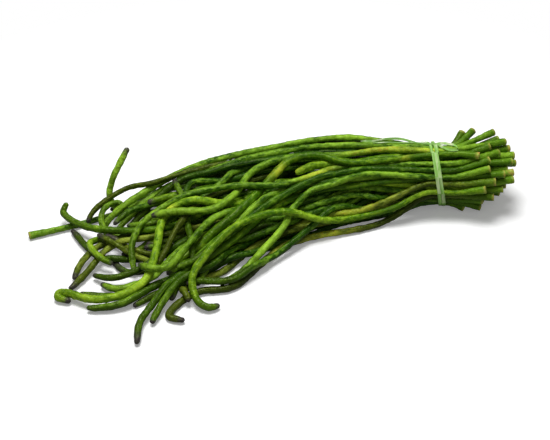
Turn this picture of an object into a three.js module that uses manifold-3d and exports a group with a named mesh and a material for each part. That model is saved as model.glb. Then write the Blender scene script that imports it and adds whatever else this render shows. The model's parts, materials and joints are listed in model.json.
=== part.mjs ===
// A bunch of yardlong beans lying on its side, tied near its cut stems with flat twine.
// Millimetres, +Z up. The stems point to +X and the pods fan out towards -X.
import * as THREE from 'three';
import Module from 'manifold-3d';

// ---- driving dimensions -------------------------------------------------------------------
const STEM_PITCH = 6.75; // spacing of the stems packed inside the tie
const TIE_CENTRE = new THREE.Vector3(163, 32, 33);
const TIE_HALF_GRIP = 14; // the stems run straight this far to either side of the tie
const TIE_WIDTH = 6.5;
const TIE_LEAN = 0.2; // how far the band leans towards the tips for each millimetre of height
const TIE_THICKNESS = 1.2;
const TWINE_RADIUS = 1.1;
const KNOT_PLAN = [157, 48]; // the knot's place seen from above
const STEM_RADIUS = 2.8;
const CUT_RADIUS = 3.6; // the stem widens to this at its cut end
const CUT_FLARE = 28; // over this length
const TIP_RADIUS = 1.6;
const TAPER_LENGTH = 11; // the tip narrows over this length
const POD_SIDES = 6;
const POD_STATIONS = 24;
const BEND_WEIGHT = 0.13; // how much a bend, in radians, draws stations to itself
const GAP = 0.4; // clearance kept between pieces
const SETTLE_STEPS = 420;

const GREEN = 0x3f8a12;
const BRIGHT = 0x7fb01e;
const DEEP = 0x2c6a12;
const OLIVE = 0x5a6b1a;
const TWINE = 0x9ccf78;

// ---- the pods -----------------------------------------------------------------------------
// slot: [ring, step] inside the tie. stem: where the cut end lies. arch: a place the stem passes
// on the way there. belly: radius at the middle.
// bends: places the pod passes through, from the tie to its tip, chosen by hand.
const PODS = [
  { name: 'pod_ridge_back', slot: [4, 3], stem: [190, 65, 62], belly: 2.5, colour: OLIVE,
    bends: [[90, 60, 52], [40, 60, 51], [0, 50, 45], [-60, 40, 38], [-120, 15, 34],
      [-145, 15, 29], [-165, 5, 22], [-180, -5, 14], [-185, -15, 8]] },
  { name: 'pod_ridge_top', slot: [4, 4], stem: [200, 65, 64], belly: 3.2, colour: GREEN,
    bends: [[105, 55, 58], [70, 60, 59], [0, 55, 50], [-55, 45, 42], [-105, 25, 33],
      [-140, 5, 21], [-165, -15, 10], [-170, -25, 6]] },
  { name: 'pod_ridge_second', slot: [4, 5], stem: [220, 60, 64], belly: 3.1, colour: GREEN,
    bends: [[100, 50, 56], [35, 50, 54], [0, 45, 50], [-30, 40, 46], [-70, 30, 38],
      [-105, 20, 28], [-130, 0, 19], [-150, -20, 9], [-155, -25, 6]] },
  { name: 'pod_ridge_third', slot: [3, 3], stem: [225, 55, 60], belly: 3.1, colour: GREEN,
    bends: [[100, 45, 50], [50, 45, 50], [-20, 35, 42], [-65, 25, 39], [-90, 25, 35],
      [-110, 15, 27], [-130, -5, 15], [-145, -25, 6]] },
  { name: 'pod_level', slot: [4, 6], stem: [230, 50, 56], belly: 3.4, colour: GREEN,
    bends: [[105, 40, 57], [70, 35, 55], [0, 35, 48], [-25, 20, 42], [-40, -10, 36],
      [-60, -30, 33], [-80, -35, 33], [-100, -35, 33], [-120, -35, 31]] },
  { name: 'pod_bright', slot: [4, 7], stem: [200, 20, 57], belly: 4.0, colour: BRIGHT,
    bends: [[95, 20, 53], [70, 20, 53], [40, 30, 57], [15, 25, 55], [-5, 5, 46],
      [-25, -25, 39], [-45, -45, 32], [-75, -65, 16], [-95, -90, 8]] },
  { name: 'pod_crossing', slot: [4, 8], stem: [220, 40, 52], arch: [195, 25, 56], belly: 3.0,
    colour: GREEN,
    bends: [[60, 20, 50], [35, 5, 48], [0, -10, 48], [-40, -5, 44], [-75, -10, 37],
      [-105, -20, 28], [-125, -35, 22], [-135, -65, 16], [-130, -90, 9]] },
  { name: 'pod_pale_tip', slot: [4, 9], stem: [210, 20, 60], belly: 3.2, colour: GREEN,
    bends: [[90, 15, 52], [55, 10, 48], [25, 0, 44], [-20, -30, 33], [-50, -60, 22],
      [-75, -90, 14], [-100, -100, 12]] },
  { name: 'pod_diagonal_long', slot: [4, 10], stem: [210, 10, 54], belly: 3.1, colour: GREEN,
    bends: [[85, 10, 47], [55, 0, 43], [35, -5, 39], [15, -25, 30], [0, -45, 18],
      [-30, -85, 6], [-50, -105, 5]] },
  { name: 'pod_inner_bend', slot: [4, 14], stem: [205, 5, 22], belly: 3.1, colour: GREEN,
    bends: [[110, 15, 20], [80, 10, 26], [60, 0, 26], [40, -10, 23], [0, -25, 10],
      [-60, -85, 6], [-90, -110, 7], [-105, -140, 5], [-110, -155, 4]] },
  { name: 'pod_front_dark', slot: [4, 15], stem: [205, 10, 9], belly: 3.0, colour: GREEN,
    bends: [[110, 15, 10], [75, 5, 14], [50, -15, 17], [30, -35, 13], [0, -65, 8],
      [-20, -85, 12], [-40, -100, 9], [-85, -100, 5]] },
  { name: 'pod_olive_yellow', slot: [4, 11], stem: [215, 5, 45], belly: 3.3, colour: OLIVE,
    bends: [[120, 0, 30], [95, -5, 21], [75, -5, 16], [50, -5, 10], [-35, -60, 5],
      [-65, -90, 5], [-85, -110, 6], [-75, -130, 4]] },
  { name: 'pod_sweeping', slot: [4, 12], stem: [205, 0, 42], belly: 3.4, colour: BRIGHT,
    bends: [[120, -5, 21], [95, -10, 16], [65, -20, 16], [40, -30, 24], [20, -30, 31], [0, -35, 36],
      [-30, -50, 36], [-50, -70, 34], [-65, -90, 27], [-75, -105, 20], [-75, -120, 11],
      [-70, -130, 7], [-60, -135, 5], [-50, -130, 4]] },
  { name: 'pod_floor_yellow', slot: [4, 13], stem: [215, 0, 28], belly: 3.3, colour: OLIVE,
    bends: [[125, 0, 10], [105, -10, 4], [80, -20, 4], [45, -30, 5], [10, -45, 5], [-15, -75, 4],
      [-40, -105, 4], [-70, -110, 5], [-90, -130, 5], [-95, -145, 4], [-80, -150, 4]] },
  { name: 'pod_floor_front', slot: [4, 16], stem: [190, 15, 5], belly: 3.1, colour: DEEP,
    bends: [[110, 5, 5], [50, -15, 5], [0, -40, 5], [-60, -85, 5], [-110, -115, 5],
      [-130, -130, 4]] },
  { name: 'pod_floor_middle', slot: [4, 17], stem: [195, 20, 7], belly: 3.0, colour: DEEP,
    bends: [[90, 5, 6], [0, -20, 5], [-70, -50, 5], [-135, -85, 5], [-160, -65, 4]] },
  { name: 'pod_floor_back', slot: [4, 18], stem: [195, 35, 5], belly: 3.0, colour: DEEP,
    bends: [[90, 45, 6], [0, 60, 5], [-60, 60, 5], [-120, 40, 5], [-150, 20, 4]] },
  { name: 'pod_stub', slot: [3, 4], stem: [235, 50, 54], belly: 3.9, colour: BRIGHT,
    bends: [[100, 30, 48], [65, 25, 50], [40, 20, 53], [20, 5, 54]] },
  { name: 'pod_front_long', slot: [3, 5], stem: [215, 30, 56], belly: 3.2, colour: GREEN,
    bends: [[100, 25, 46], [20, 5, 40], [-40, -45, 22], [-80, -90, 13], [-100, -115, 12],
      [-110, -135, 9], [-120, -155, 6], [-120, -180, 4]] },
  { name: 'pod_shoulder', slot: [3, 6], stem: [235, 30, 48], belly: 3.1, colour: GREEN,
    bends: [[60, 40, 44], [0, 40, 42], [-40, 30, 40], [-50, 15, 39], [-75, -5, 34],
      [-95, -20, 26], [-120, -50, 14], [-145, -70, 9]] },
  { name: 'pod_thin', slot: [3, 7], stem: [230, 30, 44], belly: 2.9, colour: GREEN,
    bends: [[60, 5, 42], [0, -10, 41], [-20, -25, 37], [-45, -55, 24], [-55, -70, 14],
      [-65, -90, 8], [-75, -105, 5]] },
  { name: 'pod_front_short', slot: [3, 8], stem: [225, 15, 44], belly: 3.3, colour: BRIGHT,
    bends: [[60, 5, 36], [0, -20, 30], [-40, -60, 17], [-75, -90, 9], [-90, -110, 8],
      [-95, -125, 6]] },
  { name: 'pod_hook_front', slot: [3, 9], stem: [235, 15, 42], belly: 3.7, colour: BRIGHT,
    bends: [[105, 15, 36], [60, 10, 33], [0, -5, 32], [-40, -15, 33], [-75, -20, 38],
      [-90, -20, 34], [-105, -25, 28], [-110, -40, 25], [-110, -60, 20], [-115, -90, 15],
      [-120, -110, 12], [-140, -125, 9], [-160, -130, 8], [-185, -120, 7], [-195, -115, 6],
      [-200, -120, 5], [-185, -125, 4]] },
  { name: 'pod_u_bend', slot: [3, 10], stem: [225, 10, 30], belly: 3.2, colour: GREEN,
    bends: [[105, 20, 28], [60, 10, 22], [0, -10, 26], [-40, -25, 31], [-60, -40, 32], [-80, -70, 27],
      [-95, -100, 25], [-105, -105, 24], [-120, -100, 22], [-125, -90, 19]] },
  { name: 'pod_curled_over', slot: [3, 2], stem: [230, 50, 48], belly: 3.0, colour: GREEN,
    bends: [[60, 40, 40], [-20, 30, 37], [-60, 20, 36], [-80, 15, 37], [-85, 5, 35],
      [-85, -35, 26], [-80, -55, 22], [-75, -85, 10]] },
  { name: 'pod_turned_down', slot: [3, 1], stem: [220, 60, 42], belly: 3.0, colour: OLIVE,
    bends: [[70, 55, 42], [0, 30, 34], [-50, 0, 33], [-75, -25, 31], [-95, -55, 24],
      [-105, -80, 16], [-110, -95, 8]] },
  { name: 'pod_white_tip', slot: [3, 11], stem: [215, 10, 24], belly: 3.5, colour: BRIGHT,
    bends: [[60, 30, 24], [-20, 20, 28], [-70, 10, 32], [-100, 0, 32], [-125, -10, 29]] },
  { name: 'pod_short_cross', slot: [3, 0], stem: [220, 55, 34], belly: 2.9, colour: GREEN,
    bends: [[60, 40, 26], [-30, 10, 24], [-65, -15, 25], [-85, -10, 29], [-95, 5, 32],
      [-100, 20, 34]] },
  { name: 'pod_brown_back', slot: [3, 12], stem: [210, 20, 16], belly: 2.8, colour: OLIVE,
    bends: [[60, -10, 12], [-60, -50, 10], [-100, -80, 9], [-130, -70, 11], [-150, -55, 12],
      [-170, -40, 12]] },
  { name: 'pod_upright', slot: [2, 3], stem: [240, 40, 50], belly: 3.3, colour: GREEN,
    bends: [[60, 50, 18], [-40, 40, 12], [-120, 20, 10], [-155, 5, 10], [-165, 10, 20],
      [-160, 20, 40], [-145, 35, 64]] },
  { name: 'pod_loop', slot: [2, 5], stem: [235, 25, 48], belly: 2.8, colour: GREEN,
    bends: [[60, 30, 16], [-60, 15, 14], [-130, -5, 12], [-145, -5, 14], [-155, 5, 19],
      [-165, 0, 20], [-170, -10, 18], [-170, -20, 12], [-160, -35, 5]] },
  { name: 'pod_loop_tip', slot: [2, 1], stem: [230, 50, 40], belly: 2.8, colour: DEEP,
    bends: [[60, 45, 12], [-60, 30, 8], [-150, 10, 6], [-165, 5, 6]] },
  { name: 'pod_hook_left', slot: [2, 4], stem: [240, 35, 44], belly: 3.2, colour: BRIGHT,
    bends: [[60, 20, 20], [-40, 0, 22], [-95, -35, 21], [-130, -40, 19], [-170, -35, 15],
      [-195, -20, 12], [-210, -5, 14], [-205, 0, 22]] },
  { name: 'pod_grey_tip', slot: [2, 6], stem: [225, 25, 36], belly: 3.1, colour: DEEP,
    bends: [[60, 10, 12], [-30, -20, 8], [-110, -60, 6], [-150, -70, 7], [-180, -50, 7],
      [-190, -35, 6], [-200, -20, 4]] },
  { name: 'pod_left_down', slot: [2, 7], stem: [230, 20, 30], belly: 3.0, colour: OLIVE,
    bends: [[60, 20, 16], [-40, -10, 15], [-120, -35, 13], [-160, -45, 11], [-175, -60, 8],
      [-185, -80, 5], [-185, -95, 4]] },
  { name: 'pod_left_cross', slot: [2, 8], stem: [225, 20, 24], belly: 3.0, colour: OLIVE,
    bends: [[60, 10, 14], [-40, -20, 13], [-120, -50, 14], [-155, -55, 13], [-165, -70, 11],
      [-180, -95, 6], [-190, -110, 4]] },
  { name: 'pod_left_curl', slot: [2, 9], stem: [220, 30, 18], belly: 3.0, colour: BRIGHT,
    bends: [[60, 20, 18], [-40, -5, 16], [-120, -35, 12], [-160, -35, 8], [-175, -45, 9],
      [-175, -60, 13], [-165, -75, 11], [-150, -80, 9]] },
  { name: 'pod_lower_bow', slot: [2, 10], stem: [220, 35, 14], belly: 3.1, colour: GREEN,
    bends: [[60, 5, 14], [-30, -20, 14], [-85, -60, 13], [-120, -90, 11], [-150, -100, 9],
      [-170, -90, 5]] },
  { name: 'pod_lower_bow_front', slot: [2, 11], stem: [225, 45, 18], belly: 3.1, colour: GREEN,
    bends: [[60, 0, 14], [-20, -25, 16], [-80, -65, 14], [-115, -100, 11], [-130, -110, 9],
      [-145, -115, 7], [-160, -100, 5]] },
  { name: 'pod_floor_thin', slot: [2, 0], stem: [230, 50, 26], belly: 2.8, colour: DEEP,
    bends: [[60, 0, 6], [-30, -45, 5], [-100, -95, 5], [-140, -115, 5], [-180, -115, 4]] },
  { name: 'pod_blunt_end', slot: [2, 2], stem: [235, 45, 44], belly: 3.3, colour: GREEN,
    bends: [[60, -5, 10], [0, -30, 8], [-70, -80, 8], [-110, -110, 9], [-135, -130, 7],
      [-170, -135, 5]] },
  { name: 'pod_grey_olive', slot: [1, 3], stem: [230, 25, 38], belly: 2.9, colour: OLIVE,
    bends: [[60, 10, 8], [-30, -20, 7], [-100, -65, 8], [-140, -60, 10], [-165, -40, 10]] },
];

// Filling pods in the free slots, from the core outwards: their tips seen from above.
const BACK_SWING = 12; // how far the filling pods that end at the back bow out behind the bundle
const FILL_TIPS = [
  [-50, -40], [-130, -15], [-145, -25], [-95, -20], [-125, -65], [-115, -5], [-85, -50],
  [-125, -50], [-140, -40], [-75, -75], [-100, -85], [-60, 45], [-90, 35], [-30, 50],
  [-120, 10], [-65, 10],
];

// ---- routes -------------------------------------------------------------------------------
function slotPlace(ring, step) {
  const angle = ring === 0 ? 0 : (step / (6 * ring)) * Math.PI * 2;
  const reach = ring * STEM_PITCH;
  return [TIE_CENTRE.y + reach * Math.cos(angle), TIE_CENTRE.z + reach * Math.sin(angle)];
}

function podRoute(pod) {
  const [y, z] = slotPlace(...pod.slot);
  const points = [
    pod.stem,
    ...(pod.arch ? [pod.arch] : []),
    [TIE_CENTRE.x + TIE_HALF_GRIP, y, z],
    [TIE_CENTRE.x - TIE_HALF_GRIP, y, z],
    ...pod.bends,
  ];
  return new THREE.CatmullRomCurve3(points.map((p) => new THREE.Vector3(...p)), false, 'centripetal');
}

function freeSlots(taken) {
  const used = new Set(taken.map((pod) => pod.slot.join()));
  const free = [];
  for (let ring = 0; ring <= 4; ring += 1) {
    for (let step = 0; step < Math.max(1, 6 * ring); step += 1) {
      if (!used.has([ring, step].join())) free.push([ring, step]);
    }
  }
  return free;
}

function fillingPods() {
  return freeSlots(PODS).slice(0, FILL_TIPS.length).map((slot, i) => {
    const [tipX, tipY] = FILL_TIPS[i];
    const [slotY, slotZ] = slotPlace(...slot);
    const level = (share) => THREE.MathUtils.lerp(slotZ, 8, share);
    const aside = tipY > 30 ? BACK_SWING : -6;
    return {
      name: `pod_inner_${i + 1}`,
      slot,
      stem: [206 + ((i * 11) % 27), slotY, slotZ],
      belly: 3,
      colour: DEEP,
      bends: [
        [90, slotY + aside, level(0.2)],
        [25, (slotY + tipY) / 2 + aside / 2, level(0.5)],
        [tipX, tipY, 12],
      ],
    };
  });
}

// One pod lies the other way round, with its cut end outwards at the far left.
const REVERSED = {
  name: 'pod_reversed',
  belly: 3.1,
  colour: GREEN,
  route: new THREE.CatmullRomCurve3([
    new THREE.Vector3(-240, -30, 4),
    new THREE.Vector3(-200, -15, 4),
    new THREE.Vector3(-150, 10, 4),
    new THREE.Vector3(-90, 30, 4),
    new THREE.Vector3(-30, 45, 4),
  ], false, 'centripetal'),
};

// Stations are closer together where the route bends and where the tip narrows.
function stationShares(curve) {
  const samples = 400;
  const length = curve.getLength();
  const weights = [0];
  let before = curve.getTangentAt(0);
  for (let i = 1; i <= samples; i += 1) {
    const tangent = curve.getTangentAt(i / samples);
    const nearTip = i / samples > 1 - TAPER_LENGTH / length ? 1.5 : 0;
    const bend = Math.min(before.angleTo(tangent), 0.1);
    weights.push(weights[i - 1] + (1 + nearTip) / samples + bend * BEND_WEIGHT);
    before = tangent;
  }
  const shares = [];
  let i = 1;
  for (let k = 0; k < POD_STATIONS; k += 1) {
    const wanted = (weights[samples] * k) / (POD_STATIONS - 1);
    while (i < samples && weights[i] < wanted) i += 1;
    const within = (wanted - weights[i - 1]) / (weights[i] - weights[i - 1]);
    shares.push(Math.min(1, (i - 1 + within) / samples));
  }
  return shares;
}

function radiusAt(share, length, belly) {
  const swelling = STEM_RADIUS + (belly - STEM_RADIUS) * THREE.MathUtils.smoothstep(share, 0.3, 0.6);
  const flare = (CUT_RADIUS - STEM_RADIUS) * (1 - THREE.MathUtils.smoothstep(share * length, 0, CUT_FLARE));
  const fromTip = (1 - share) * length;
  const narrowing = Math.sqrt(Math.min(1, fromTip / TAPER_LENGTH));
  return TIP_RADIUS + (swelling + flare - TIP_RADIUS) * narrowing;
}

function strand(pod) {
  const curve = pod.route ?? podRoute(pod);
  const length = curve.getLength();
  const shares = stationShares(curve);
  const places = shares.map((share) => curve.getPointAt(share));
  const radii = shares.map((share) => radiusAt(share, length, pod.belly));
  const home = places.map((p) => p.clone());
  const lengths = places.slice(1).map((p, k) => p.distanceTo(places[k]));
  return { ...pod, places, radii, home, lengths };
}

// ---- settling: pods push apart, keep their length and bend smoothly, and rest on the floor --
const SEGMENT_U = new THREE.Vector3();
const SEGMENT_V = new THREE.Vector3();
const SEGMENT_W = new THREE.Vector3();

// Shares along two segments at which they come closest.
function closestShares(a, b, c, d) {
  SEGMENT_U.subVectors(b, a);
  SEGMENT_V.subVectors(d, c);
  SEGMENT_W.subVectors(a, c);
  const uu = SEGMENT_U.lengthSq();
  const uv = SEGMENT_U.dot(SEGMENT_V);
  const vv = SEGMENT_V.lengthSq();
  const uw = SEGMENT_U.dot(SEGMENT_W);
  const vw = SEGMENT_V.dot(SEGMENT_W);
  const spread = uu * vv - uv * uv;
  const clamp = THREE.MathUtils.clamp;
  let s = spread > 1e-6 ? clamp((uv * vw - vv * uw) / spread, 0, 1) : 0.5;
  const t = clamp((uv * s + vw) / vv, 0, 1);
  s = clamp((uv * t - uw) / uu, 0, 1);
  return [s, t];
}

function segmentsOf(strands) {
  return strands.flatMap((owner, index) => owner.lengths.map((length, k) => (
    { owner, index, k, reach: length / 2 + owner.radii[k] })));
}

function nearbyPairs(segments) {
  const middles = segments.map(({ owner, k }) => (
    owner.places[k].clone().add(owner.places[k + 1]).multiplyScalar(0.5)));
  const pairs = [];
  for (let i = 0; i < segments.length; i += 1) {
    for (let j = i + 1; j < segments.length; j += 1) {
      const sameOrNext = segments[i].index === segments[j].index && segments[j].k - segments[i].k < 4;
      const reach = segments[i].reach + segments[j].reach + 6;
      if (!sameOrNext && middles[i].distanceToSquared(middles[j]) < reach * reach) {
        pairs.push([segments[i], segments[j]]);
      }
    }
  }
  return pairs;
}

const PUSH = new THREE.Vector3();
const NEAR_A = new THREE.Vector3();
const NEAR_B = new THREE.Vector3();

function widest({ owner, k }) {
  return Math.max(owner.radii[k], owner.radii[k + 1]);
}

// Moves two segments apart to their clearance, and returns how far short of it they were.
function separate([first, second], strength) {
  const [a, b] = [first.owner.places[first.k], first.owner.places[first.k + 1]];
  const [c, d] = [second.owner.places[second.k], second.owner.places[second.k + 1]];
  const [s, t] = closestShares(a, b, c, d);
  NEAR_A.lerpVectors(a, b, s);
  NEAR_B.lerpVectors(c, d, t);
  PUSH.subVectors(NEAR_A, NEAR_B);
  const distance = Math.max(PUSH.length(), 1e-4);
  const short = widest(first) + widest(second) + GAP - distance;
  if (short <= 0) return 0;
  const total = (1 - s) ** 2 + s ** 2 + (1 - t) ** 2 + t ** 2;
  PUSH.multiplyScalar((strength * short) / (distance * total));
  a.addScaledVector(PUSH, 1 - s);
  b.addScaledVector(PUSH, s);
  c.addScaledVector(PUSH, t - 1);
  d.addScaledVector(PUSH, -t);
  return short;
}

function keepLengths({ places, lengths }) {
  lengths.forEach((length, k) => {
    PUSH.subVectors(places[k + 1], places[k]);
    const excess = (PUSH.length() - length) / PUSH.length();
    places[k].addScaledVector(PUSH, excess * 0.25);
    places[k + 1].addScaledVector(PUSH, -excess * 0.25);
  });
}

// Each station's offset from its neighbours' average is drawn to what it was in the route.
function keepBends({ places, home }, strength) {
  for (let k = 1; k < places.length - 1; k += 1) {
    PUSH.addVectors(home[k - 1], home[k + 1]).multiplyScalar(-0.5).add(home[k]);
    NEAR_A.addVectors(places[k - 1], places[k + 1]).multiplyScalar(0.5).add(PUSH);
    places[k].lerp(NEAR_A, strength);
  }
}

function restOnFloor({ places, radii }) {
  places.forEach((place, k) => {
    place.z = Math.max(place.z, radii[k] + 0.05);
  });
}

function settle(strands) {
  const segments = segmentsOf(strands);
  let pairs = [];
  let worst = 0;
  for (let step = 0; step < SETTLE_STEPS; step += 1) {
    if (step % 12 === 0) pairs = nearbyPairs(segments);
    const looseness = Math.max(0, 1 - step / (SETTLE_STEPS * 0.7));
    strands.forEach((one) => {
      one.places.forEach((place, k) => place.lerp(one.home[k], 0.06 * looseness));
      keepBends(one, 0.25 * looseness);
      if (looseness > 0) keepLengths(one);
    });
    worst = 0;
    pairs.forEach((pair) => {
      worst = Math.max(worst, separate(pair, looseness > 0 ? 0.7 : 1));
    });
    strands.forEach(restOnFloor);
  }
  return worst;
}

// ---- pod solids ---------------------------------------------------------------------------
function tangentAt(places, k) {
  const from = places[Math.max(k - 1, 0)];
  const to = places[Math.min(k + 1, places.length - 1)];
  return to.clone().sub(from).normalize();
}

// Frames carried along the stations without twisting.
function framesAlong(places) {
  let side = new THREE.Vector3(0, 1, 0);
  return places.map((place, k) => {
    const tangent = tangentAt(places, k);
    side = side.clone().addScaledVector(tangent, -side.dot(tangent)).normalize();
    return { place, tangent, side, up: new THREE.Vector3().crossVectors(tangent, side) };
  });
}

// A straight turned pod, one station per millimetre of height, bent onto its stations.
function podGeometry({ places, radii }) {
  const last = places.length - 1;
  const profile = [
    new THREE.Vector2(0, 0),
    ...radii.map((radius, k) => new THREE.Vector2(radius, k)),
    new THREE.Vector2(0, last + 1),
  ];
  const geometry = new THREE.LatheGeometry(profile, POD_SIDES);
  const frames = framesAlong(places);
  const position = geometry.getAttribute('position');
  for (let i = 0; i < position.count; i += 1) {
    const height = Math.round(position.getY(i));
    const frame = frames[Math.min(height, last)];
    const point = frame.place.clone()
      .addScaledVector(frame.side, position.getZ(i))
      .addScaledVector(frame.up, position.getX(i));
    if (height > last) point.addScaledVector(frame.tangent, TIP_RADIUS * 0.8);
    position.setXYZ(i, point.x, point.y, point.z);
  }
  geometry.computeVertexNormals();
  return geometry;
}

// ---- the tie ------------------------------------------------------------------------------
function samplesNear(strands, fromX, toX) {
  const samples = [];
  strands.forEach(({ places, radii, lengths }) => {
    lengths.forEach((length, k) => {
      for (let s = 0; s <= 1; s += 0.1) {
        const place = places[k].clone().lerp(places[k + 1], s);
        const radius = THREE.MathUtils.lerp(radii[k], radii[k + 1], s);
        if (place.x > fromX && place.x < toX) samples.push({ place, radius });
      }
    });
  });
  return samples;
}

// Outline of a taut band round the stems: the corners of their supporting lines.
function bandOutline(samples, clearance) {
  const sides = 36;
  const turn = (Math.PI * 2) / sides;
  const support = Array.from({ length: sides }, (_, i) => {
    const [c, s] = [Math.cos(i * turn), Math.sin(i * turn)];
    return Math.max(...samples.map(({ place, radius }) => place.y * c + place.z * s + radius)) + clearance;
  });
  return support.map((h, i) => {
    const next = support[(i + 1) % sides];
    const [a, b] = [i * turn, (i + 1) * turn];
    return new THREE.Vector2(
      (h * Math.sin(b) - next * Math.sin(a)) / Math.sin(turn),
      (next * Math.cos(a) - h * Math.cos(b)) / Math.sin(turn),
    );
  });
}

function bandGeometry(strands) {
  const half = TIE_WIDTH / 2;
  const reach = half + 8;
  const samples = samplesNear(strands, TIE_CENTRE.x - reach, TIE_CENTRE.x + reach);
  const shape = new THREE.Shape(bandOutline(samples, GAP + TIE_THICKNESS));
  shape.holes.push(new THREE.Path(bandOutline(samples, GAP)));
  const geometry = new THREE.ExtrudeGeometry(shape, { depth: TIE_WIDTH, bevelEnabled: false });
  const turnToX = new THREE.Matrix4().makeBasis(
    new THREE.Vector3(0, 1, 0), new THREE.Vector3(0, 0, 1), new THREE.Vector3(1, 0, 0));
  geometry.applyMatrix4(turnToX);
  geometry.applyMatrix4(new THREE.Matrix4().makeShear(0, 0, 0, 0, -TIE_LEAN, 0));
  geometry.translate(TIE_CENTRE.x + TIE_LEAN * TIE_CENTRE.z - half, 0, 0);
  return geometry;
}

// Lowest height at which a twine of the given radius clears every pod at a place on the plan.
function clearHeight(strands, x, y, radius) {
  const near = samplesNear(strands, x - 14, x + 14);
  return Math.max(...near.map(({ place, radius: podRadius }) => {
    const across = Math.hypot(place.x - x, place.y - y);
    const apart = podRadius + radius + GAP + 0.6;
    return across < apart ? place.z + Math.sqrt(apart ** 2 - across ** 2) : 0;
  }));
}

function twineGeometry(strands, plan, lifts) {
  const points = plan.map(([x, y], i) => (
    new THREE.Vector3(x, y, clearHeight(strands, x, y, TWINE_RADIUS) + lifts[i])));
  const path = new THREE.CatmullRomCurve3(points, false, 'centripetal');
  const section = new THREE.Shape().absarc(0, 0, TWINE_RADIUS, 0, Math.PI * 2, false);
  return new THREE.ExtrudeGeometry(section, {
    steps: plan.length * 3, curveSegments: 4, extrudePath: path });
}

function tieGeometries(strands) {
  const [x, y] = KNOT_PLAN;
  const knot = new THREE.SphereGeometry(4, 10, 6);
  knot.scale(1, 1, 0.7);
  knot.translate(x, y, clearHeight(strands, x, y, 1) + 2.6);
  return [
    bandGeometry(strands),
    knot,
    twineGeometry(strands, [[x, y], [x + 8, y], [x + 17, y - 2], [x + 20, y - 6],
      [x + 15, y - 10], [x + 8, y - 6], [x, y]], [2, 2, 2, 2, 2, 2, 2]),
    twineGeometry(strands, [[x, y], [x - 16, y + 4], [x - 40, y + 9], [x - 65, y + 9]],
      [2, 2, 1, 1]),
    twineGeometry(strands, [[x, y], [x - 6, y + 3], [x - 12, y + 6]], [2, 3, 5]),
    twineGeometry(strands, [[x, y], [x + 1, y + 3], [x + 3, y + 6]], [2, 4, 5]),
  ];
}

// ---- joining the twine into one closed body --------------------------------------------------
const wasm = await Module();
wasm.setup();

function toSolid(geometry) {
  const position = geometry.getAttribute('position');
  const count = geometry.index ? geometry.index.count : position.count;
  const triVerts = Uint32Array.from({ length: count }, (_, i) => (
    geometry.index ? geometry.index.getX(i) : i));
  const mesh = new wasm.Mesh({
    numProp: 3, vertProperties: Float32Array.from(position.array), triVerts });
  mesh.merge();
  return new wasm.Manifold(mesh);
}

function joined(geometries) {
  const mesh = wasm.Manifold.union(geometries.map(toSolid)).getMesh();
  const geometry = new THREE.BufferGeometry();
  geometry.setAttribute('position', new THREE.BufferAttribute(mesh.vertProperties, 3));
  geometry.setIndex(new THREE.BufferAttribute(mesh.triVerts, 1));
  geometry.computeVertexNormals();
  return geometry;
}

// ---- assembly -----------------------------------------------------------------------------
function named(name, geometry, color, roughness) {
  const material = new THREE.MeshStandardMaterial({ color, roughness, metalness: 0 });
  const mesh = new THREE.Mesh(geometry, material);
  mesh.name = name;
  return mesh;
}

const strands = [...PODS, ...fillingPods(), REVERSED].map(strand);
settle(strands);

const bunch = new THREE.Group();
bunch.name = 'yardlong_bean_bunch';
strands.forEach((one) => bunch.add(named(one.name, podGeometry(one), one.colour, 0.45)));
bunch.add(named('twine_tie', joined(tieGeometries(strands)), TWINE, 0.6));

// The origin is the middle of the footprint, on the floor.
const box = new THREE.Box3().setFromObject(bunch);
const centre = box.getCenter(new THREE.Vector3());
bunch.children.forEach((mesh) => mesh.position.set(-centre.x, -centre.y, -box.min.z));

export default bunch;
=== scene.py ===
"""A bunch of yardlong beans lying on a pale floor, tied near its cut stems with flat twine.

Each pod of the frame is replaced by a smooth wrinkled pod that follows the same centreline,
and the tie by two taut turns of fibrous twine, a knot, a bow, two tails and some frayed ends.
A few more pods fill gaps in the bundle.
"""
import json
import math
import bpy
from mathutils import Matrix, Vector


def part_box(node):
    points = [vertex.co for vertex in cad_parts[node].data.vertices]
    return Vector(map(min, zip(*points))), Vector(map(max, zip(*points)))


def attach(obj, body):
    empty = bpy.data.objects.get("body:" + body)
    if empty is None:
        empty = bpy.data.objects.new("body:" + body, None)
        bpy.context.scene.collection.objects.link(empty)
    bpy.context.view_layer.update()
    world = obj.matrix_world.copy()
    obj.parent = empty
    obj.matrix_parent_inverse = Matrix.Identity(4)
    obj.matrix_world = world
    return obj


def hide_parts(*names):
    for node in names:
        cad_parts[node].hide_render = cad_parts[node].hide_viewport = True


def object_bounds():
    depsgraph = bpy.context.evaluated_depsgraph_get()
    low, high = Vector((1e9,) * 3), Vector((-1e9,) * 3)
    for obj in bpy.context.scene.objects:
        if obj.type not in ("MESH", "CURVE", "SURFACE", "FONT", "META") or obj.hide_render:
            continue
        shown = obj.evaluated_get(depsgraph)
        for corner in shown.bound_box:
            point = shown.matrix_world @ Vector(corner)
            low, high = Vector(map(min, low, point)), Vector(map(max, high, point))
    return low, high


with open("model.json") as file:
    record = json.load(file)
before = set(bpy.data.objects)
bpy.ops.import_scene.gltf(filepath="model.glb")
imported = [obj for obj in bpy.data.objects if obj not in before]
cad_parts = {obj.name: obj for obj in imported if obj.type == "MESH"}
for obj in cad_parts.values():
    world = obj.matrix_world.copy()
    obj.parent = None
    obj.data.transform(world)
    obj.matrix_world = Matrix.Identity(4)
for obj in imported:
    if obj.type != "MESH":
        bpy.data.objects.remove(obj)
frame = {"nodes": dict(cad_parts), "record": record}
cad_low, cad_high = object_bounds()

import zlib

import bpy
import numpy as np
from mathutils import Vector

MM = 0.001

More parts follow.
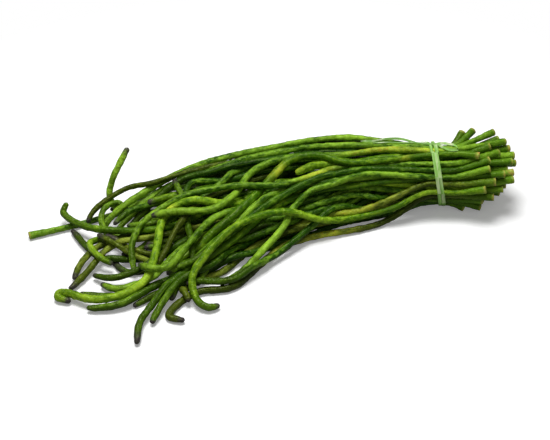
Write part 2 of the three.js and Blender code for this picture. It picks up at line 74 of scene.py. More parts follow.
# ---- camera ---------------------------------------------------------------------------------
CAMERA_ELEVATION = math.radians(38)
CAMERA_DISTANCE = 1.1
CAMERA_TARGET = Vector((0.0002, 0.0536, 0.0001))
CAMERA_LENS = 72.0
CAMERA_SENSOR = 36.0


def make_camera():
    data = bpy.data.cameras.new("camera")
    data.lens = CAMERA_LENS
    data.sensor_width = CAMERA_SENSOR
    camera = bpy.data.objects.new("camera", data)
    bpy.context.scene.collection.objects.link(camera)
    back = Vector((0, -math.cos(CAMERA_ELEVATION), math.sin(CAMERA_ELEVATION)))
    camera.location = CAMERA_TARGET + back * CAMERA_DISTANCE
    camera.rotation_euler = back.to_track_quat("Z", "Y").to_euler()
    bpy.context.scene.camera = camera


make_camera()
bpy.context.scene.view_settings.view_transform = "Standard"

# ---- lights and floor -----------------------------------------------------------------------
KEY_PLACE = Vector((-0.15, 0.2, 1.5))
KEY_SIZE = 0.7
KEY_POWER = 22.0
FILL_PLACE = Vector((0.2, -1.1, 1.1))
FILL_SIZE = 1.4
FILL_POWER = 2.0
SKY_STRENGTH = 0.13
FLOOR_SEEN = 0.97  # how bright the floor is to the camera where light falls on it
FLOOR_GLOW = 0.2  # and how bright everywhere, so that it is white outside the shadow
FLOOR_FADE = (0.3, 0.55)  # between these distances from the object it turns plain white
FLOOR_BOUNCE = 0.35  # how much of the light it sends back up onto the pods
FLOOR_REACH = 6.0


def area_light(name, place, size, power):
    data = bpy.data.lights.new(name, "AREA")
    data.shape = "SQUARE"
    data.size = size
    data.energy = power
    light = bpy.data.objects.new(name, data)
    bpy.context.scene.collection.objects.link(light)
    light.location = place
    light.rotation_euler = (place - CAMERA_TARGET).to_track_quat("Z", "Y").to_euler()


def mixed(tree, factor, first, second):
    mix = tree.nodes.new("ShaderNodeMixShader")
    tree.links.new(factor, mix.inputs[0])
    tree.links.new(first.outputs[0], mix.inputs[1])
    tree.links.new(second.outputs[0], mix.inputs[2])
    return mix


def seen_apart(tree, output, usual, to_camera):
    """Gives the output one shader for what the camera sees and the usual one for all other rays."""
    path = tree.nodes.new("ShaderNodeLightPath")
    mix = mixed(tree, path.outputs["Is Camera Ray"], usual, to_camera)
    tree.links.new(mix.outputs[0], output.inputs["Surface"])


def make_world():
    world = bpy.data.worlds.new("studio")
    world.use_nodes = True
    tree = world.node_tree
    sky = tree.nodes["Background"]
    sky.inputs["Color"].default_value = (1, 1, 1, 1)
    sky.inputs["Strength"].default_value = SKY_STRENGTH
    white = tree.nodes.new("ShaderNodeBackground")
    white.inputs["Color"].default_value = (1, 1, 1, 1)
    white.inputs["Strength"].default_value = 1.0
    seen_apart(tree, tree.nodes["World Output"], sky, white)
    bpy.context.scene.world = world


def distance_out(tree):
    """How far out a place is, from 0 near the object to 1 beyond the fade."""
    place = tree.nodes.new("ShaderNodeNewGeometry")
    length = tree.nodes.new("ShaderNodeVectorMath")
    length.operation = "LENGTH"
    tree.links.new(place.outputs["Position"], length.inputs[0])
    fade = tree.nodes.new("ShaderNodeMapRange")
    fade.inputs["From Min"].default_value, fade.inputs["From Max"].default_value = FLOOR_FADE
    tree.links.new(length.outputs["Value"], fade.inputs["Value"])
    return fade.outputs["Result"]


def grey_diffuse(tree, grey):
    shader = tree.nodes.new("ShaderNodeBsdfDiffuse")
    shader.inputs["Color"].default_value = (grey, grey, grey, 1)
    return shader


def make_floor():
    mesh = bpy.data.meshes.new("floor")
    square = ((-1, -1), (1, -1), (1, 1), (-1, 1))
    corners = [(x * FLOOR_REACH, y * FLOOR_REACH, 0) for x, y in square]
    mesh.from_pydata(corners, [], [(0, 1, 2, 3)])
    floor = bpy.data.objects.new("floor", mesh)
    bpy.context.scene.collection.objects.link(floor)
    material = bpy.data.materials.new("floor")
    material.use_nodes = True
    tree = material.node_tree
    tree.nodes.remove(tree.nodes["Principled BSDF"])
    lit = grey_diffuse(tree, FLOOR_SEEN)
    glow = tree.nodes.new("ShaderNodeEmission")
    glow.inputs["Strength"].default_value = FLOOR_GLOW
    seen = tree.nodes.new("ShaderNodeAddShader")
    tree.links.new(lit.outputs[0], seen.inputs[0])
    tree.links.new(glow.outputs[0], seen.inputs[1])
    plain = tree.nodes.new("ShaderNodeEmission")
    faded = mixed(tree, distance_out(tree), seen, plain)
    seen_apart(tree, tree.nodes["Material Output"], grey_diffuse(tree, FLOOR_BOUNCE), faded)
    mesh.materials.append(material)


area_light("key", KEY_PLACE, KEY_SIZE, KEY_POWER)
area_light("fill", FILL_PLACE, FILL_SIZE, FILL_POWER)
make_world()
make_floor()

# ---- pods: centreline and radius of each CAD pod ----------------------------------------------
STATION_STEP = 1.4 * MM
SIDES = 16
CURVE_STEPS = 16  # samples of a smooth curve between two of its points
KINK_ROUNDS = 22
KINK_MOST = 0.9 * MM  # evening out kinks moves the centreline no further than this
SNUG = 0.15 * MM  # pods are fuller than their CAD solids by this, so that they touch
SEED_PITCH = 12.5 * MM
SEED_HALF_LENGTH = 3.6 * MM
SEED_HEIGHTS = (0.05, 0.34)  # in millimetres
WRINKLE_DEPTH = 0.11 * MM
SEAM_DEPTH = 0.1 * MM
SEAM_WIDTH = 0.06
TIP_TAPER = 12 * MM
TIP_ROUND = 2.8 * MM
LEAST_RADIUS = 0.05 * MM
LEAST_REACH = 0.03 * MM  # the same for a single corner of a ring


def merged_graph(mesh):
    """Places of a mesh's distinct corners, and for each the corners it shares an edge with."""
    index_of = {}
    places = []
    which = []
    for vertex in mesh.vertices:
        key = tuple(round(c * 2e5) for c in vertex.co)
        if key not in index_of:
            index_of[key] = len(places)
            places.append(np.array(vertex.co))
        which.append(index_of[key])
    neighbours = [set() for _ in places]
    for edge in mesh.edges:
        a, b = which[edge.vertices[0]], which[edge.vertices[1]]
        if a != b:
            neighbours[a].add(b)
            neighbours[b].add(a)
    return np.array(places), neighbours


def levels_from(start, neighbours):
    """Corners grouped by how many edges they are from the start."""
    seen = {start}
    levels = [[start]]
    while levels[-1]:
        ahead = []
        for corner in levels[-1]:
            for other in sorted(neighbours[corner]):
                if other not in seen:
                    seen.add(other)
                    ahead.append(other)
        levels.append(ahead)
    return levels[:-1]


def rings_of(node):
    """Centre and radius of each ring of a CAD pod, from its cut end to its tip."""
    places, neighbours = merged_graph(frame["nodes"][node].data)
    pole = levels_from(0, neighbours)[-1][0]
    rings = [level for level in levels_from(pole, neighbours) if len(level) > 1]
    centres = np.array([places[ring].mean(axis=0) for ring in rings])
    radii = np.array([
        np.linalg.norm(places[ring] - centre, axis=1).mean()
        for ring, centre in zip(rings, centres)])
    if radii[0] < radii[-1]:
        centres, radii = centres[::-1], radii[::-1]
    return centres, radii


def catmull_rom(points, values):
    """Dense samples of a smooth curve through the points, with the values carried along."""
    ahead = np.vstack([2 * points[0] - points[1], points, 2 * points[-1] - points[-2]])
    curve, carried = [], []
    for k in range(len(points) - 1):
        p0, p1, p2, p3 = ahead[k:k + 4]
        for t in np.linspace(0, 1, CURVE_STEPS, endpoint=False):
            curve.append(0.5 * (2 * p1 + (p2 - p0) * t + (2 * p0 - 5 * p1 + 4 * p2 - p3) * t ** 2
                                + (3 * p1 - p0 - 3 * p2 + p3) * t ** 3))
            carried.append(values[k] + (values[k + 1] - values[k]) * t)
    curve.append(points[-1])
    carried.append(values[-1])
    return np.array(curve), np.array(carried)


def evenly(curve, values, step):
    """The curve sampled again at an even spacing, with how far along it each sample is."""
    travel = np.concatenate([[0], np.cumsum(np.linalg.norm(np.diff(curve, axis=0), axis=1))])
    count = max(24, int(travel[-1] / step))
    at = np.linspace(0, travel[-1], count)
    places = np.stack([np.interp(at, travel, curve[:, i]) for i in range(3)], axis=1)
    return places, np.interp(at, travel, values), at


def smoothed(places, rounds, most):
    """Evens out small kinks, moving no point further than the given distance."""
    soft = places.copy()
    for _ in range(rounds):
        soft[1:-1] += 0.5 * (0.5 * (soft[:-2] + soft[2:]) - soft[1:-1])
    moved = soft - places
    distance = np.linalg.norm(moved, axis=1, keepdims=True)
    return places + moved * np.minimum(1, most / np.maximum(distance, 1e-9))


def centreline(node):
    """Places, radii and distances from the cut end along the middle of a CAD pod."""
    centres, radii = rings_of(node)
    curve, carried = catmull_rom(centres, radii)
    places, radii, at = evenly(curve, carried, STATION_STEP)
    return smoothed(places, KINK_ROUNDS, KINK_MOST), radii, at


def frames_along(places):
    """Tangent, side and up at each place, carried along without twisting."""
    tangents = np.gradient(places, axis=0)
    tangents /= np.linalg.norm(tangents, axis=1, keepdims=True)
    side = np.cross(tangents[0], (0.0, 0.0, 1.0))
    sides = []
    for tangent in tangents:
        side = side - tangent * np.dot(side, tangent)
        side = side / np.linalg.norm(side)
        sides.append(side)
    sides = np.array(sides)
    return tangents, sides, np.cross(tangents, sides)


# ---- pods: skin -----------------------------------------------------------------------------
def random_for(name):
    """A random source of its own for each piece, the same in every run."""
    return np.random.default_rng(zlib.crc32(name.encode()))


def wander(rng, at, wavelength, size):
    """A smooth random offset along the pod."""
    knots = np.arange(0, at[-1] + 2 * wavelength, wavelength)
    heights = rng.normal(0, size, len(knots))
    curve, _ = catmull_rom(np.stack([knots, heights, heights * 0], axis=1), heights)
    return np.interp(at, curve[:, 0], curve[:, 1])


def seed_swelling(rng, at):
    """Low swellings over the seeds, none near the stem."""
    length = at[-1]
    swelling = np.zeros_like(at)
    place = 0.22 * length
    while place < length - 10 * MM:
        height = rng.uniform(*SEED_HEIGHTS) * MM
        swelling += height * np.exp(-((at - place) / SEED_HALF_LENGTH) ** 2)
        place += SEED_PITCH * rng.uniform(0.8, 1.3)
    return swelling


def wrinkles(rng, count):
    """Uneven creases across the pod, deeper on one side of it than on the other."""
    waves = rng.normal(0, WRINKLE_DEPTH, (5, count))
    waves = 0.25 * np.roll(waves, 1, 1) + 0.5 * waves + 0.25 * np.roll(waves, -1, 1)
    turn = ring_angles()
    around = [np.ones(SIDES), np.cos(turn), np.sin(turn), np.cos(2 * turn), np.sin(2 * turn)]
    return sum(wave[:, None] * lobe[None] for wave, lobe in zip(waves, around))


def radius_profile(rng, radii, at):
    """The pod's radius along its length: fuller towards the tip than the CAD, and rounded off."""
    from_tip = at[-1] - at
    full = radii[from_tip > TIP_TAPER][-1]
    shape = np.where(from_tip < TIP_TAPER, 0.65 * radii + 0.35 * full, radii)
    shape = shape + SNUG + seed_swelling(rng, at) + wander(rng, at, 26 * MM, 0.09 * MM)
    rounding = np.sqrt(np.clip(1 - (1 - np.clip(from_tip / TIP_ROUND, 0, 1)) ** 2, 0.0, 1))
    return np.maximum(shape * rounding, LEAST_RADIUS)


def ring_angles():
    return np.linspace(0, 2 * math.pi, SIDES, endpoint=False)


def skin_points(rng, places, profile, at):
    """Corners of every ring, slightly oval, with a shallow seam down each flank."""
    _, sides, ups = frames_along(places)
    angles = ring_angles()
    oval = wander(rng, at, 60 * MM, 0.02)[:, None]
    twist = wander(rng, at, 90 * MM, 0.7)[:, None]
    seam = np.exp(-((np.abs(np.sin(angles[None] - twist)) - 1) / SEAM_WIDTH) ** 2)
    reach = profile[:, None] * (1 + oval * np.cos(2 * (angles[None] - twist)))
    room = np.clip(profile / MM - 1, 0, 1)[:, None]  # the thin end of a tip has no wrinkles
    reach = reach - seam * SEAM_DEPTH + wrinkles(rng, len(at)) * room
    reach = np.maximum(reach, LEAST_REACH)
    around = (np.cos(angles)[None, :, None] * sides[:, None]
              + np.sin(angles)[None, :, None] * ups[:, None])
    return places[:, None] + reach[:, :, None] * around


def skin_faces(count):
    faces = []
    for k in range(count - 1):
        here, ahead = k * SIDES, (k + 1) * SIDES
        for j in range(SIDES):
            n = (j + 1) % SIDES
            faces.append((here + j, here + n, ahead + n, ahead + j))
    return faces


def smooth_mesh(name, corners, faces):
    mesh = bpy.data.meshes.new(name)
    mesh.from_pydata([tuple(c) for c in corners], [], faces)
    mesh.polygons.foreach_set("use_smooth", [True] * len(mesh.polygons))
    return mesh


def add_float(mesh, name, values):
    flat = np.asarray(values, np.float32)
    mesh.attributes.new(name, "FLOAT", "POINT").data.foreach_set("value", flat)


def add_vector(mesh, name, values):
    flat = np.asarray(values, np.float32).ravel()
    mesh.attributes.new(name, "FLOAT_VECTOR", "POINT").data.foreach_set("vector", flat)


# Single pods' marks. Lengths are in millimetres.
# Yellowed stretches, as (distance from the tip, half length, strength).
YELLOWED = {
    "pod_hook_front": [(196, 7, 0.8)],
    "pod_bright": [(150, 9, 0.7), (285, 5, 0.5)],
    "pod_level": [(262, 30, 0.6), (310, 14, 0.9)],
    "pod_floor_yellow": [(215, 26, 0.7), (150, 14, 0.5)],
    "pod_olive_yellow": [(215, 40, 0.45)],
    "pod_crossing": [(242, 18, 0.6)],
    "pod_stub": [(2, 5, 0.5)],
}
# How far a dried cut end reaches along the pod. The others have only a thin dry rim.
DRY_RIM = 1.2
DRY_ENDS = {"pod_loop": 6, "pod_bright": 3, "pod_stub": 2.5}
# How pale a pod is, where it isn't left to chance between -1 and 1.
TONES = {"pod_upright": 2.0, "pod_reversed": 0.8, "pod_bright": -0.7, "pod_stub": 0.0}
# How far the dark of a withered tip reaches, where it isn't left to chance in the usual range.
TIP_DARK = (3, 8)
WITHERED = {
    "pod_grey_olive": 24, "pod_brown_back": 14, "pod_floor_middle": 22, "pod_shoulder": 12,
    "pod_left_cross": 9, "pod_u_bend": 9, "pod_grey_tip": 13, "pod_loop_tip": 12,
    "pod_front_long": 11, "pod_level": 8,
}
BLUNT = {"pod_stub", "pod_blunt_end", "pod_hook_left"}  # these have no dark tip


def yellowing(name, from_tip):
    amount = np.zeros_like(from_tip)
    for middle, half, strength in YELLOWED.get(name, []):
        off = (from_tip - middle * MM) / (half * MM)
        amount = np.maximum(amount, strength * np.exp(-off ** 2))
    return amount


def tip_darkness(name, rng, from_tip):
    if name in BLUNT:
        return np.zeros_like(from_tip)
    reach = WITHERED.get(name, rng.uniform(*TIP_DARK)) * MM
    return np.clip(1.5 - 1.1 * from_tip / reach, 0, 1)


def pod_mesh(name, line):
    """A closed pod round a centreline, with what its material needs to know at each corner."""
    rng = random_for(name)
    places, radii, at = line
    profile = radius_profile(rng, radii, at)
    points = skin_points(rng, places, profile, at)
    count = len(places)
    tangents, _, _ = frames_along(places)
    bevel = places[0] + (points[0] - places[0]) * 0.86 - tangents[0] * 0.35 * MM
    core = places[0] + (points[0] - places[0]) * 0.4 - tangents[0] * 0.15 * MM
    corners = np.vstack([points.reshape(-1, 3), bevel, core, [places[0]], [places[-1]]])
    faces = skin_faces(count)
    edge, inner = count * SIDES, (count + 1) * SIDES
    stem, tip = (count + 2) * SIDES, (count + 2) * SIDES + 1
    for j in range(SIDES):
        n = (j + 1) % SIDES
        faces.append((j, edge + j, edge + n, n))
        faces.append((edge + j, inner + j, inner + n, edge + n))
        faces.append((inner + j, stem, inner + n))
        faces.append(((count - 1) * SIDES + j, (count - 1) * SIDES + n, tip))
    corners[:, 2] = np.maximum(corners[:, 2], 0)  # a pod is pressed flat on the floor, not sunk in
    mesh = smooth_mesh(name.replace("pod_", "bean_"), corners, faces)
    from_tip = np.repeat(at[-1] - at, SIDES)
    cut = 2 * SIDES + 1  # corners on the cut face
    length = at[-1]
    angles = np.tile(ring_angles(), count)
    girth = 4 * MM
    straight = np.stack([np.cos(angles) * girth, np.sin(angles) * girth, np.repeat(at, SIDES)], 1)
    caps = np.vstack([(corners[edge:stem + 1] - places[0]), [(0, 0, length)]])
    add_vector(mesh, "skin", np.vstack([straight, caps]) + rng.uniform(0, 5, 3))
    add_float(mesh, "tip", np.concatenate([tip_darkness(name, rng, from_tip), [0] * cut, [1.0]]))
    add_float(mesh, "yellow", np.concatenate([yellowing(name, from_tip), [0] * (cut + 1)]))
    dry = np.repeat(np.clip(1.5 - at / (DRY_ENDS.get(name, DRY_RIM) * MM), 0, 1), SIDES)
    add_float(mesh, "cut", np.concatenate([dry, [1] * cut, [0]]))
    stemward = np.clip(from_tip / length, 0, 1)
    add_float(mesh, "stemward", np.concatenate([stemward, [1] * cut, [0]]))
    add_float(mesh, "tone", np.full(len(corners), TONES.get(name, rng.uniform(-1, 1))))
    mesh.validate()
    return mesh


# ---- materials ------------------------------------------------------------------------------
class Nodes:
    """Short names for building a node tree."""

    def __init__(self, name):
        self.material = bpy.data.materials.new(name)
        self.material.use_nodes = True
        self.tree = self.material.node_tree
        self.shader = self.tree.nodes["Principled BSDF"]

    def add(self, kind, **settings):
        node = self.tree.nodes.new(kind)
        for key, value in settings.items():
            setattr(node, key, value)
        return node

    def join(self, start, end):
        self.tree.links.new(start, end)

    def attribute(self, name, output="Fac"):
        return self.add("ShaderNodeAttribute", attribute_name=name).outputs[output]

    def noise(self, vector, scale, detail=3.0, stretch=(1, 1, 1)):
        mapping = self.add("ShaderNodeMapping")
        mapping.inputs["Scale"].default_value = stretch
        self.join(vector, mapping.inputs["Vector"])
        node = self.add("ShaderNodeTexNoise")
        node.inputs["Scale"].default_value = scale
        node.inputs["Detail"].default_value = detail
        self.join(mapping.outputs[0], node.inputs["Vector"])
        return node.outputs["Fac"]

    def span(self, value, low, high, to_low=0.0, to_high=1.0):
        node = self.add("ShaderNodeMapRange")
        ends = {"From Min": low, "From Max": high, "To Min": to_low, "To Max": to_high}
        for key, number in ends.items():
            node.inputs[key].default_value = number
        self.join(value, node.inputs["Value"])
        return node.outputs["Result"]

    def maths(self, operation, a, b):
        node = self.add("ShaderNodeMath", operation=operation)
        for socket, value in zip(node.inputs, (a, b)):
            if isinstance(value, (int, float)):
                socket.default_value = value
            else:
                self.join(value, socket)
        return node.outputs[0]

    def blend(self, factor, a, b):
        node = self.add("ShaderNodeMix", data_type="RGBA")
        self.join(factor, node.inputs[0])
        for socket, value in zip((node.inputs[6], node.inputs[7]), (a, b)):
            if isinstance(value, tuple):
                socket.default_value = (*value, 1)
            else:
                self.join(value, socket)
        return node.outputs[2]

    def bump(self, height, strength, distance, below=None):
        node = self.add("ShaderNodeBump")
        node.inputs["Strength"].default_value = strength
        node.inputs["Distance"].default_value = distance
        self.join(height, node.inputs["Height"])
        if below is not None:
            self.join(below, node.inputs["Normal"])
        return node.outputs[0]


TIPWARD = (0.195, 0.240, 0.009)  # pods turn olive towards their tips
STEMWARD = (0.128, 0.285, 0.009)  # and plain green at their stem ends
TIP_GREY = (0.053, 0.044, 0.044)
YELLOW = (0.780, 0.900, 0.060)
BROWN_SPECK = (0.450, 0.210, 0.030)
CUT_FACE = (0.450, 0.630, 0.090)
CUT_RIM = (0.630, 0.360, 0.090)
TWINE_DARK = (0.105, 0.300, 0.030)
TWINE_PLAIN = (0.510, 0.920, 0.210)
TWINE_PALE = (0.860, 0.920, 0.600)


def bean_material(name, deep, plain, light):
    """Mottled, streaked skin with yellowed stretches, dark tips, dry cut ends and fine creases."""
    n = Nodes(name)
    skin = n.attribute("skin", "Vector")
    mottling = n.noise(skin, 70, 4, (1, 1, 0.35))
    blotches = n.noise(skin, 270, 3, (1, 1, 0.6))
    streaks = n.noise(skin, 900, 3, (1, 1, 0.05))
    fine = n.noise(skin, 1500, 2)
    tone = n.attribute("tone")
    shade = n.maths("ADD", n.span(mottling, 0.3, 0.7, 0.18, 0.82), n.maths("MULTIPLY", tone, 0.3))
    shade = n.maths("ADD", shade, n.span(blotches, 0.3, 0.7, -0.22, 0.22))
    colour = n.blend(n.span(shade, 0.0, 0.75), deep, plain)
    colour = n.blend(n.span(shade, 0.5, 1.2), colour, light)
    colour = n.blend(n.span(streaks, 0.52, 0.8, 0, 0.35), colour, light)
    colour = n.blend(n.span(fine, 0.62, 0.8, 0, 0.4), colour, deep)
    colour = n.blend(n.span(n.attribute("stemward"), 0.02, 0.3, 0.18, 0), colour, TIPWARD)
    colour = n.blend(n.span(n.attribute("stemward"), 0.86, 0.97, 0, 0.5), colour, STEMWARD)
    uneven = n.span(n.noise(skin, 160, 3, (1, 1, 0.5)), 0.3, 0.6)
    yellow = n.maths("MULTIPLY", n.attribute("yellow"), uneven)
    colour = n.blend(yellow, colour, YELLOW)
    specks = n.maths("MULTIPLY", yellow, n.span(n.noise(skin, 500, 2), 0.56, 0.64))
    colour = n.blend(specks, colour, BROWN_SPECK)
    uneven = n.span(n.noise(skin, 300, 3), 0.3, 0.7, -0.25, 0.25)
    ragged = n.maths("ADD", n.attribute("tip"), uneven)
    tip = n.maths("MULTIPLY", n.span(ragged, 0.15, 1.0), n.span(n.attribute("tip"), 0.0, 0.15))
    colour = n.blend(tip, colour, TIP_GREY)
    face = n.blend(n.span(n.noise(skin, 420, 3), 0.4, 0.65), CUT_FACE, CUT_RIM)
    colour = n.blend(n.maths("MULTIPLY", n.attribute("cut"), 0.85), colour, face)
    n.join(colour, n.shader.inputs["Base Color"])
    rough = n.span(n.noise(skin, 260, 3), 0.3, 0.7, 0.16, 0.34)
    n.join(rough, n.shader.inputs["Roughness"])
    n.shader.inputs["Specular IOR Level"].default_value = 0.24
    n.shader.inputs["Specular Tint"].default_value = (0.9, 1.0, 0.5, 1)
    creases = n.bump(n.noise(skin, 420, 4, (0.4, 0.4, 1.2)), 1.0, 1.5 * MM)
    pores = n.bump(n.noise(skin, 1900, 2), 0.35, 0.15 * MM, creases)
    n.join(pores, n.shader.inputs["Normal"])
    return n.material


def twine_material():
    """Pale green flat fibres, whiter in patches."""
    n = Nodes("raffia_twine")
    along = n.attribute("fibre", "Vector")
    fibres = n.noise(along, 2600, 3, (1, 1, 0.03))
    patches = n.noise(along, 120, 3)
    colour = n.blend(n.span(fibres, 0.3, 0.7), TWINE_DARK, TWINE_PLAIN)
    colour = n.blend(n.span(patches, 0.48, 0.68, 0, 0.8), colour, TWINE_PALE)
    n.join(colour, n.shader.inputs["Base Color"])
    n.join(n.span(fibres, 0.3, 0.7, 0.35, 0.55), n.shader.inputs["Roughness"])
    n.shader.inputs["Specular IOR Level"].default_value = 0.4
    n.join(n.bump(fibres, 0.6, 0.3 * MM), n.shader.inputs["Normal"])
    return n.material


# Each kind of pod in three shades: deep, plain and light.
MATERIALS = {
    name: bean_material(name, *shades) for name, shades in {
        "bean_green": ((0.004, 0.030, 0.001), (0.033, 0.122, 0.002), (0.390, 0.700, 0.045)),
        "bean_bright": ((0.018, 0.075, 0.002), (0.092, 0.235, 0.003), (0.510, 0.790, 0.042)),
        "bean_deep": ((0.003, 0.020, 0.001), (0.018, 0.076, 0.002), (0.225, 0.450, 0.027)),
        "bean_olive": ((0.013, 0.026, 0.002), (0.060, 0.103, 0.004), (0.405, 0.500, 0.054)),
    }.items()
}

# ---- making the pods ------------------------------------------------------------------------
slots = {part["node"]: part["material_slot"] for part in frame["record"]["subparts"]}
pods = [name for name in sorted(frame["nodes"]) if name.startswith("pod_")]


def place_piece(mesh, slot, material, *nodes):
    """Makes a visible piece that stands for the named CAD nodes, if any."""
    piece = bpy.data.objects.new(mesh.name, mesh)
    bpy.context.scene.collection.objects.link(piece)
    mesh.materials.append(material)
    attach(piece, "root")
    if nodes:
        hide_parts(*nodes)


for pod in pods:
    place_piece(pod_mesh(pod, centreline(pod)), slots[pod], MATERIALS[slots[pod]], pod)

# Pods that fill gaps in the bundle, past the number the CAD can hold. Places are in
# millimetres: along the bunch, in front of the back of the CAD box, and above the floor.
FILLER_RADIUS = 3.0 * MM
FILLERS = {
    "pod_filler_low": [
        (150, 24, 5), (110, 14, 4.2), (70, 8, 4), (30, 6, 4),
        (-10, 7, 4), (-45, 8, 4), (-75, 15, 4), (-100, 25, 4)],
    "pod_filler_high": [
        (150, 20, 13), (110, 14, 10.5), (70, 9, 11), (30, 9, 11),
        (-10, 9.5, 11), (-45, 9.5, 11), (-75, 15, 11), (-100, 25, 12)],
    "pod_filler_top": [
        (115, 9, 48), (90, 9, 46), (60, 10, 43), (30, 14, 39.5),
        (0, 20, 35), (-30, 26, 31), (-60, 34, 28), (-80, 40, 25)],
    "pod_filler_left": [
        (-95, 63, 22), (-116, 72, 20), (-130, 81, 22),
        (-142, 91, 24), (-150, 100, 22), (-156, 106, 19)],
}


def filler_line(route):
    """The same as centreline, for a pod that is not in the CAD."""
    points = np.array([(x * MM, cad_high[1] - before * MM, z * MM) for x, before, z in route])
    curve, radii = catmull_rom(points, np.full(len(points), FILLER_RADIUS))
    places, radii, at = evenly(curve, radii, STATION_STEP)
    return places, radii * np.clip(0.5 + (at[-1] - at) / (2 * TIP_TAPER), 0, 1), at


for name, route in FILLERS.items():
    place_piece(pod_mesh(name, filler_line(route)), "bean_deep", MATERIALS["bean_deep"])

# ---- the tie --------------------------------------------------------------------------------
STRAND_WIDTH = 3.3 * MM
STRAND_THICKNESS = 0.45 * MM
STRAND_STEP = 1.0 * MM
FIBRES = 9
FIBRE_STEP = 1.2 * MM  # how fast the fibre pattern runs along a strand
TURN_GAP = 0.35 * MM  # between the stems and the middle of a taut turn
KNOT_BEHIND = 16 * MM  # the knot lies this far behind the middle of the bundle
KNOT_RAISED = 2.4 * MM  # and this far above the turns
tie_low, tie_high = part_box("twine_tie")
pod_lines = [centreline(pod)[:2] for pod in pods]
pod_places = np.vstack([places for places, _ in pod_lines])
pod_radii = np.concatenate([radii for _, radii in pod_lines])


def band_line():
    """The band leans: its middle's X as a straight line in Z, fitted to the CAD tie's low part."""
    corners = np.array([v.co for v in frame["nodes"]["twine_tie"].data.vertices])
    low = corners[corners[:, 2] < 0.7 * tie_high.z]
    slope, start = np.polyfit(low[:, 2], low[:, 0], 1)
    return slope, start


BAND_SLOPE, BAND_START = band_line()


def band_x(z):
    return BAND_START + BAND_SLOPE * z


def band_outline(clearance, count=144):
    """Where a taut strand lies round the stems, as (y, z), from the far side over the top."""
    near = np.abs(pod_places[:, 0] - band_x(pod_places[:, 2])) < 5 * MM
    spots, radii = pod_places[near][:, 1:], pod_radii[near]
    turn = 2 * math.pi / count
    angles = np.arange(count) * turn
    outward = np.stack([np.cos(angles), np.sin(angles)], axis=1)
    support = (spots @ outward.T + radii[:, None]).max(axis=0) + clearance
    ahead = np.roll(support, -1)
    y = (support * np.sin(angles + turn) - ahead * np.sin(angles)) / math.sin(turn)
    z = (ahead * np.cos(angles) - support * np.cos(angles + turn)) / math.sin(turn)
    return np.stack([y, z], axis=1), outward


def ribbon(name, places, normals, width, rng, closed=False):
    """A thin flat strip of fibres along the places, its broad face turned to the normals."""
    count = len(places)
    if closed:
        ahead = np.roll(places, -1, 0) - np.roll(places, 1, 0)
    else:
        ahead = np.gradient(places, axis=0)
    tangents = ahead / np.linalg.norm(ahead, axis=1, keepdims=True)
    across = np.cross(tangents, normals)
    across /= np.linalg.norm(across, axis=1, keepdims=True)
    faces_up = np.cross(across, tangents)
    lanes = np.linspace(-0.5, 0.5, FIBRES)
    ridges = np.where(np.arange(FIBRES) % 2, 0.16, -0.08) * MM
    ridges = ridges + rng.normal(0, 0.03 * MM, (count, FIBRES))
    uneven = 1 + 0.1 * wander(rng, np.arange(count) * MM, 9 * MM, 1)
    widths = (np.broadcast_to(np.asarray(width), count) * uneven)[:, None, None]
    top = (places[:, None] + across[:, None] * (lanes[None, :, None] * widths)
           + faces_up[:, None] * (STRAND_THICKNESS / 2 + ridges)[:, :, None])
    bottom = (places[:, None] + across[:, None] * (lanes[None, ::-1, None] * widths)
              - faces_up[:, None] * (STRAND_THICKNESS / 2))
    ring = np.concatenate([top, bottom], axis=1)
    ring[:, :, 2] = np.maximum(ring[:, :, 2], 0)
    per = 2 * FIBRES
    faces = []
    for k in range(count if closed else count - 1):
        for j in range(per):
            n, following = (j + 1) % per, (k + 1) % count
            faces.append((k * per + j, following * per + j, following * per + n, k * per + n))
    if not closed:
        faces.append(tuple(range(per)))
        faces.append(tuple(range((count - 1) * per, count * per))[::-1])
    mesh = smooth_mesh(name, ring.reshape(-1, 3), faces)
    travel = np.arange(count) * FIBRE_STEP
    lane = np.tile(np.concatenate([lanes, lanes[::-1]]) * STRAND_WIDTH, count)
    fibre = np.stack([lane, lane * 0, np.repeat(travel, per)], axis=1)
    add_vector(mesh, "fibre", fibre + rng.uniform(0, 3, 3))
    return mesh


def clear_height(x, y, reach):
    """Lowest height at which a strand clears the pods at a place on the plan."""
    across = np.hypot(pod_places[:, 0] - x, pod_places[:, 1] - y)
    apart = pod_radii + reach
    near = across < apart
    if not near.any():
        return 0.0
    return float((pod_places[near][:, 2] + np.sqrt(apart[near] ** 2 - across[near] ** 2)).max())


def strand_over(name, plan, lifts, width, lean):
    """A loose strand over the pods: its places seen from above, its lift off them, and its lean."""
    rng = random_for(name)
    points = np.array([(KNOT.x + x * MM, KNOT.y + y * MM, 0) for x, y in plan])
    points[:, 2] = [
        clear_height(x, y, 0.6 * MM) + lift * MM for (x, y, _), lift in zip(points, lifts)]
    curve, _ = catmull_rom(points, np.zeros(len(points)))
    places, _, at = evenly(curve, np.zeros(len(curve)), STRAND_STEP)
    places = smoothed(places, 6, 0.6 * MM)
    roll = lean + wander(rng, at, 14 * MM, 0.35)
    normals = np.stack([roll * 0.3, roll, np.ones_like(roll)], axis=1)
    taper = np.clip((at[-1] - at) / (4 * MM), 0.4, 1)
    return ribbon(name, places, normals, width * MM * taper, rng)


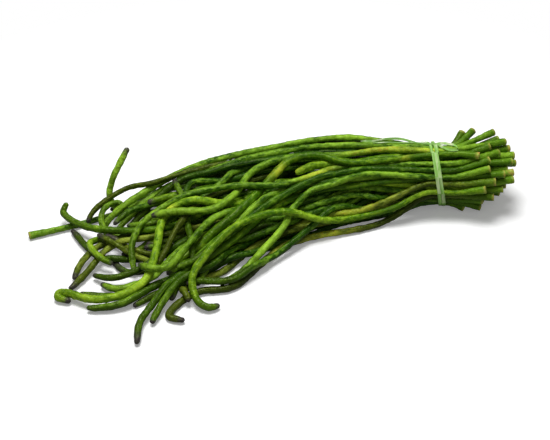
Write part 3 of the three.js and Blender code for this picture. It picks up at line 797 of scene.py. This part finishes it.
def turn_of_twine(side, knot_at):
    """One taut turn round the stems. The two turns part below the knot and close up again."""
    share = np.arange(len(outline)) / len(outline)
    before_knot = (share - knot_at / len(outline)) % 1.0  # grows over the front, down from the knot
    parted = np.exp(-((before_knot - 0.085) / 0.05) ** 2) * 0.9
    loose_foot = np.exp(-((before_knot - 0.42) / 0.08) ** 2) * 0.25
    gathered = np.exp(-(np.minimum(before_knot, 1 - before_knot) / 0.03) ** 2)
    spread = (1.6 + parted + loose_foot - gathered) * MM * side
    ring = outline + outward * (0.25 * MM if side > 0 else 0)
    places = np.column_stack([band_x(ring[:, 1]) + spread, ring])
    normals = np.column_stack([np.zeros(len(ring)), outward])
    name = f"twine_turn_{'left' if side < 0 else 'right'}"
    return ribbon(name, places, normals, STRAND_WIDTH, random_for(name), closed=True)


def knot_wrap(name, tilt, radius):
    """One tight wrap of the knot, an oval ring of strand round the crossing."""
    turns = np.linspace(0, 2 * math.pi, 40, endpoint=False)
    c, s = math.cos(tilt), math.sin(tilt)
    outwards = np.stack([np.sin(turns) * -s, np.sin(turns) * c, np.cos(turns)], axis=1)
    places = np.array(KNOT) + outwards * radius * np.array([1, 1, 0.75])
    return ribbon(name, places, outwards, STRAND_WIDTH * 0.7, random_for(name), closed=True)


twine = twine_material()
outline, outward = band_outline(TURN_GAP)
behind = outline[:, 0] - (outline[:, 0].mean() + KNOT_BEHIND)
knot_at = int(np.argmin(np.abs(behind) + (outline[:, 1] < outline[:, 1].mean())))
knot_y, knot_z = outline[knot_at]
KNOT = Vector((band_x(knot_z), knot_y, knot_z + KNOT_RAISED))

tie_pieces = [
    turn_of_twine(-1, knot_at),
    turn_of_twine(1, knot_at),
    knot_wrap("twine_knot_wrap", 0.5, 2.0 * MM),
    knot_wrap("twine_knot_cross", -0.7, 1.6 * MM),
    strand_over("twine_bow_over", [(0, 0), (8, -3), (15, -7), (20, -11), (22, -17)],
                (2.2, 2.6, 2.4, 2.2, 1.2), 2.6, -0.9),
    strand_over("twine_bow_under", [(0, -1), (4, -10), (9, -18), (15, -24), (20, -24), (22, -18)],
                (1.6, 1.0, 0.9, 1.0, 1.1, 1.4), 2.4, -0.9),
    strand_over("twine_tail_long", [(0, 0), (-12, 1), (-30, 2), (-46, 3), (-60, 4), (-72, 4)],
                (1.8, 2.2, 2.4, 2.2, 1.6, 0.8), 2.2, -0.9),
    strand_over("twine_tail_thin", [(0, 1), (-12, 0), (-28, -1), (-44, -1), (-60, 0)],
                (1.4, 1.2, 0.8, 0.8, 0.6), 1.2, -0.6),
]
# Frayed ends at the knot: how far each reaches across, away and up, in millimetres.
FRAYED = [(-11, 5, 3.4), (-9, 6, 4.6), (-12, 3, 2.2), (-7, 4, 3.6), (4, 5, 3.4), (6, 4, 2.2)]
for i, (across, away, lift) in enumerate(FRAYED):
    plan = [(0, 0), (across * 0.5, away * 0.5), (across, away)]
    lifts = (1.3, lift * 0.8, lift)
    tie_pieces.append(strand_over(f"twine_fray_{i + 1}", plan, lifts, 0.9, -0.5))

for i, mesh in enumerate(tie_pieces):
    place_piece(mesh, "twine", twine, *(["twine_tie"] if i == 0 else []))
